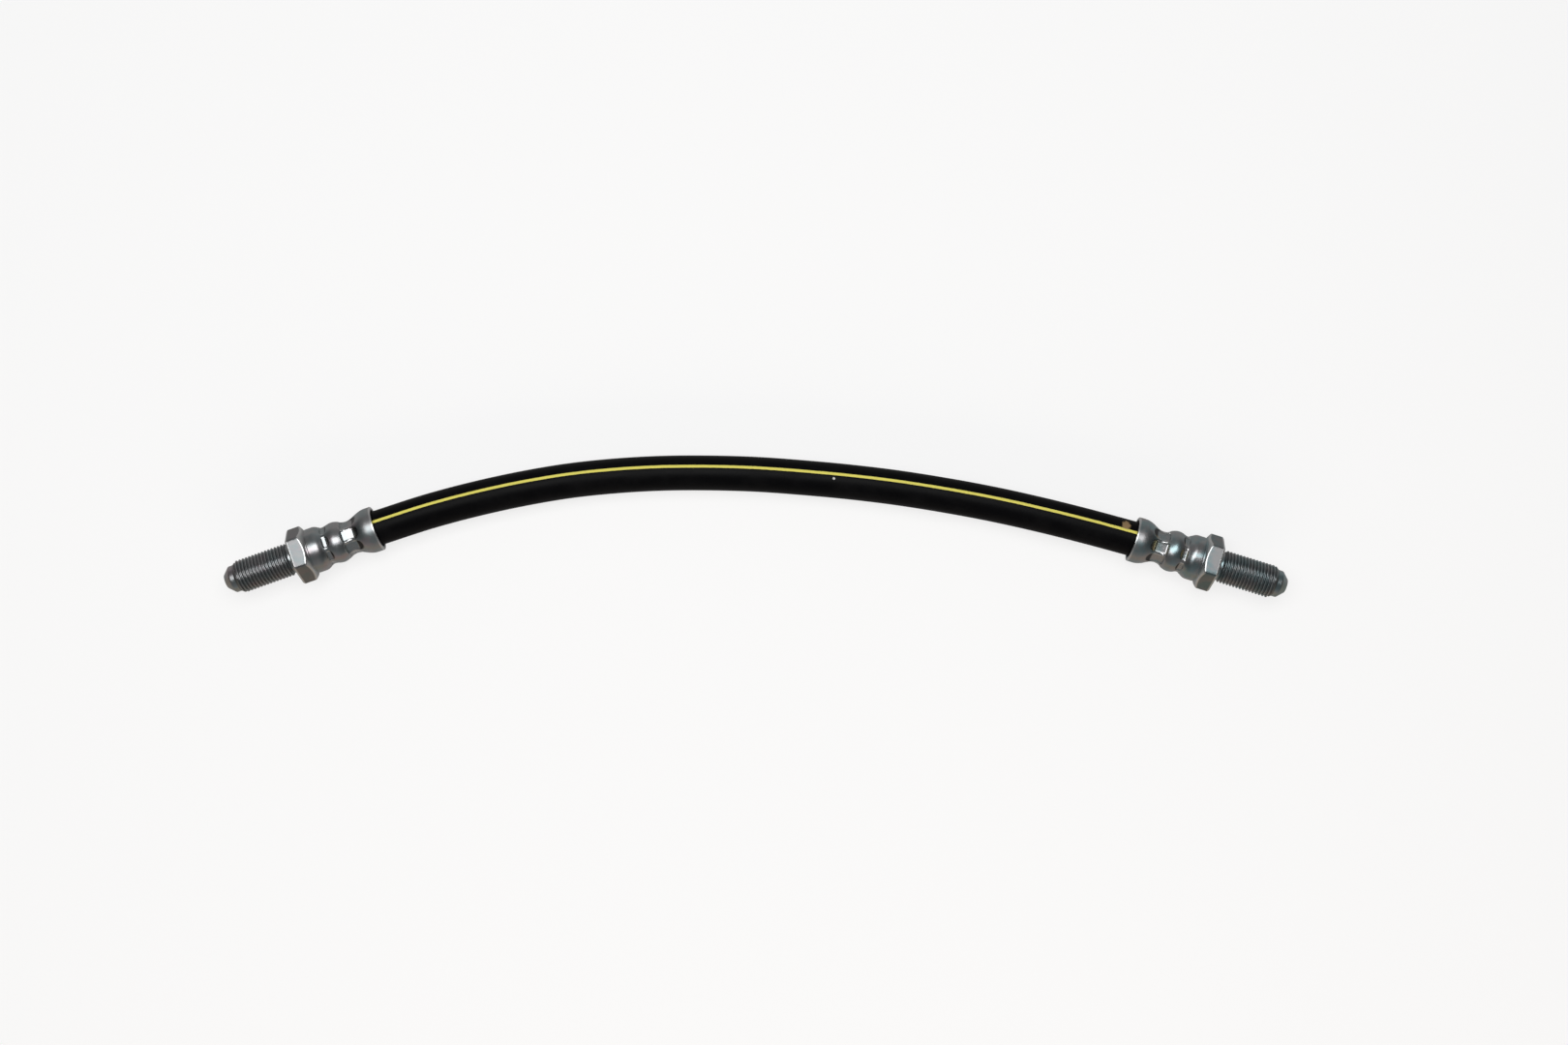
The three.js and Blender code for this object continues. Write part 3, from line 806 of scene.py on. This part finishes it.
def coverRubber():
    s = Shader("coverRubber")
    r, duller, height = rubber, rubber["duller"], rubber["height"]
    place = s.place()
    along = s.attribute("alongHose", vector=True)
    across = s.attribute("acrossStripe")
    facing = s.attribute("facesStripe").between(*r["facingAt"])
    streaks = s.noise(s.stretched(along, r["streaks"]), 1.0, detail=4.0, roughness=0.6)
    grain = s.noise(place, r["grain"], roughness=0.6)
    cloud = s.noise(place, r["cloud"], detail=4.0, roughness=0.6).between(*r["cloudAt"])
    dust = cloud * r["dust"]["cloud"] + streaks * r["dust"]["streaks"]
    black = s.mix(dust, r["black"], r["dusty"])
    wander = s.noise(s.stretched(along, r["wander"]), 1.0, detail=2.0) - 0.5
    ragged = s.noise(place, r["ragged"], detail=2.0, roughness=0.6) - 0.5
    offset = across + wander * r["wanderBy"]
    offset = s.node("ShaderNodeMath", {"operation": "ABSOLUTE"}, {0: offset})
    half = hose["stripeWidth"] / 2
    edge = offset + ragged * r["raggedBy"]
    stripe = (1 - edge.between(half - r["lineEdge"], half + r["lineEdge"])) * facing
    worn = s.noise(place, r["wear"], detail=4.0, roughness=0.65).between(*r["wearAt"])
    yellow = s.mix(worn * r["wearShare"], r["yellow"], r["yellowWorn"])
    colour = s.mix(stripe, black, yellow)
    fromAbove = s.stretched(place, (1.0, 1.0, 0.0))
    for mark, tint in (("smear", "tan"), ("speck", "lint")):
        x, y, radius = r[mark]
        inputs = {0: fromAbove, 1: (x, y, 0.0)}
        away = s.node("ShaderNodeVectorMath", {"operation": "DISTANCE"}, inputs, "Value")
        away = away * (1 / radius) + ragged * r["spotRagged"]
        spot = (1 - away.between(*r["spotAt"])) * facing * r["spotShare"]
        colour = s.mix(spot, colour, r[tint])
    rough = r["gloss"] + (grain - 0.5) * duller["grain"]
    rough = rough + cloud * duller["cloud"] + stripe * duller["stripe"]
    relief = grain * height["grain"] + streaks * height["streaks"] + stripe * height["stripe"]
    normal = s.bump(relief, *r["bump"])
    return s.finish(
        Base_Color=colour, Roughness=rough, Normal=normal, Specular_IOR_Level=r["shine"])


# A look is its scale to the metre, the second colour's share, the roughness and its spread
hidden = {
    "insert": (0.50, 0.50, 0.49),
    "insertLook": (1800.0, 0.4, 0.25, 0.2),
    "liner": (0.014, 0.014, 0.014),
    "linerLook": (2400.0, 0.5, 0.6, 0.15),
    "yarn": (0.62, 0.58, 0.48),
    "yarnGap": (0.10, 0.09, 0.08),
    "yarnRough": 0.85,
    "weave": {"Scale": 900.0, "Distortion": 0.6},
    "weaveAt": (0.15, 0.6),
    "weaveBump": (0.00005, 0.5),
}


def grained(name, colour, second, look, metallic):
    s = Shader(name)
    scale, share, rough, spread = look
    grain = s.noise(s.place(), scale, roughness=0.6)
    mixed = s.mix(grain * share, colour, second)
    return s.finish(Base_Color=mixed, Metallic=metallic, Roughness=rough + grain * spread)


def braidYarn():
    s = Shader("braidYarn")
    inputs = {"Vector": s.place(), **hidden["weave"]}
    one = s.node("ShaderNodeTexWave", {"bands_direction": "DIAGONAL"}, inputs, 1)
    weave = one.between(*hidden["weaveAt"])
    colour = s.mix(weave, hidden["yarnGap"], hidden["yarn"])
    normal = s.bump(weave, *hidden["weaveBump"])
    return s.finish(Base_Color=colour, Roughness=hidden["yarnRough"], Normal=normal)


def dress(piece, material):
    piece.data.materials.clear()
    piece.data.materials.append(material)


steel = platedSteel()
for piece in fittings:
    dress(piece, steel)
dress(hoseCover, coverRubber())
insertSteel = grained("insertSteel", hidden["insert"], plating["root"], hidden["insertLook"], 1.0)
linerRubber = grained("linerRubber", hidden["liner"], rubber["dusty"], hidden["linerLook"], 0.0)
yarn = braidYarn()
innerFinish = {
    "insert_left": insertSteel,
    "insert_right": insertSteel,
    "hose_liner": linerRubber,
    "cushion_layer": linerRubber,
    "inner_braid": yarn,
    "outer_braid": yarn,
}
for node, material in innerFinish.items():
    dress(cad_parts[node], material)
print("materials made")

studio = {
    "floorHalf": 3.5,  # metres
    "floorRough": 0.9,
    "floorGrey": (0.25, 0.235, 0.225),
    "floorFront": (0.25, 0.205, 0.16),  # warmer in front of the object
    "frontEdge": (-0.05, 0.0),  # where the floor turns warm, metres
    "frontGlow": (1.0, 0.84, 0.66),  # its white as metal shows it
    "floorPale": (0.88, 0.88, 0.88),  # the floor's colour to the camera, which shows the shadow
    "floorSeen": 0.75,  # share of plain white on the floor that the camera sees
    "floorMirrored": 0.20,  # the same in metal
    "sky": 0.05,
    "sides": 0.22,  # added to the sky in front and behind
    "backdrop": 0.3,  # white just over the skyline, in metal
    "skyline": (0.0, 0.10),  # sine of the elevations between which it ends
    "lamps": {
        "softbox": {
            "at": (-0.05, 0.15, 0.66), "size": (0.70, 0.38), "radiance": 3.5,
            "tint": (1, 1, 1), "glossy": True,
        },
        "front": {
            "at": (0.05, -0.55, 0.20), "size": (0.9, 0.22), "radiance": 3.4,
            "tint": (1.0, 0.86, 0.74), "glossy": False,
        },
        "over": {
            "at": (0.0, 0.05, 0.9), "size": (0.9, 0.9), "radiance": 0.7,
            "tint": (1, 1, 1), "glossy": False,
        },
    },
}


def makeLamp(name, values):
    # a rectangle that faces the origin, whose power is radiance x area x pi
    light = bpy.data.lights.new(name, "AREA")
    light.shape = "RECTANGLE"
    light.size, light.size_y = values["size"]
    area = values["size"][0] * values["size"][1]
    light.energy = values["radiance"] * area * math.pi
    light.color = values["tint"]
    holder = bpy.data.objects.new(name, light)
    place = np.array(values["at"])
    towards = place / np.linalg.norm(place)
    tilt = math.acos(towards[2])
    spin = math.atan2(towards[0], -towards[1])
    holder.rotation_euler = (tilt, 0, spin)
    holder.location = values["at"]
    holder.visible_camera = False
    holder.visible_glossy = values["glossy"]
    bpy.context.scene.collection.objects.link(holder)


def backgroundRays(s):
    # the rays that see the plain white background: the camera's, and those of metal and glass
    kinds = ("Is Camera Ray", "Is Glossy Ray", "Is Transmission Ray")
    seen = [s.node("ShaderNodeLightPath", output=kind) for kind in kinds]
    return seen[0], seen[1] + seen[2]


def makeFloor():
    half = studio["floorHalf"]
    mesh = bpy.data.meshes.new("floor")
    corners = [(-half, -half, 0), (half, -half, 0), (half, half, 0), (-half, half, 0)]
    mesh.from_pydata(corners, [], [(0, 1, 2, 3)])
    floor = bpy.data.objects.new("floor", mesh)
    bpy.context.scene.collection.objects.link(floor)
    s = Shader("floor")
    across = s.node("ShaderNodeSeparateXYZ", None, {0: s.place()}, "Y")
    inFront = 1 - across.between(*studio["frontEdge"])
    grey = s.mix(inFront, studio["floorGrey"], studio["floorFront"])
    toCamera, toMetal = backgroundRays(s)
    colour = s.mix(toCamera, grey, studio["floorPale"])
    s.finish(Base_Color=colour, Roughness=studio["floorRough"])
    seen = toCamera * studio["floorSeen"] + toMetal * studio["floorMirrored"]
    glow = s.mix(inFront * toMetal, (1.0, 1.0, 1.0), studio["frontGlow"])
    white = s.node("ShaderNodeEmission", None, {0: glow, 1: 1.0})
    plain = Wire(s, s.surface.outputs[0])
    mixed = s.node("ShaderNodeMixShader", None, {0: seen, 1: plain, 2: white})
    s.feed(s.output.inputs[0], mixed)
    mesh.materials.append(s.material)


def makeWorld():
    # strength is the sky, brighter in front and behind by the square of y, and mixed to white for
    # the camera and, just over the skyline, for metal
    world = bpy.data.worlds.new("studio")
    world.use_nodes = True
    bpy.context.scene.world = world
    s = NodeTree(world.node_tree)
    toCamera, toMetal = backgroundRays(s)
    inputs = {0: s.node("ShaderNodeTexCoord")}
    across, upwards = (s.node("ShaderNodeSeparateXYZ", None, inputs, axis) for axis in "YZ")
    sky = studio["sky"] + across * across * studio["sides"]
    low = 1 - upwards.between(*studio["skyline"])
    white = toCamera + toMetal * studio["backdrop"] * low
    back = s.tree.nodes["Background"]
    s.feed(back.inputs[0], (1, 1, 1))
    s.feed(back.inputs[1], sky + white * (1 - sky))


makeFloor()
makeWorld()
for name, values in studio["lamps"].items():
    makeLamp(name, values)
print("studio made")
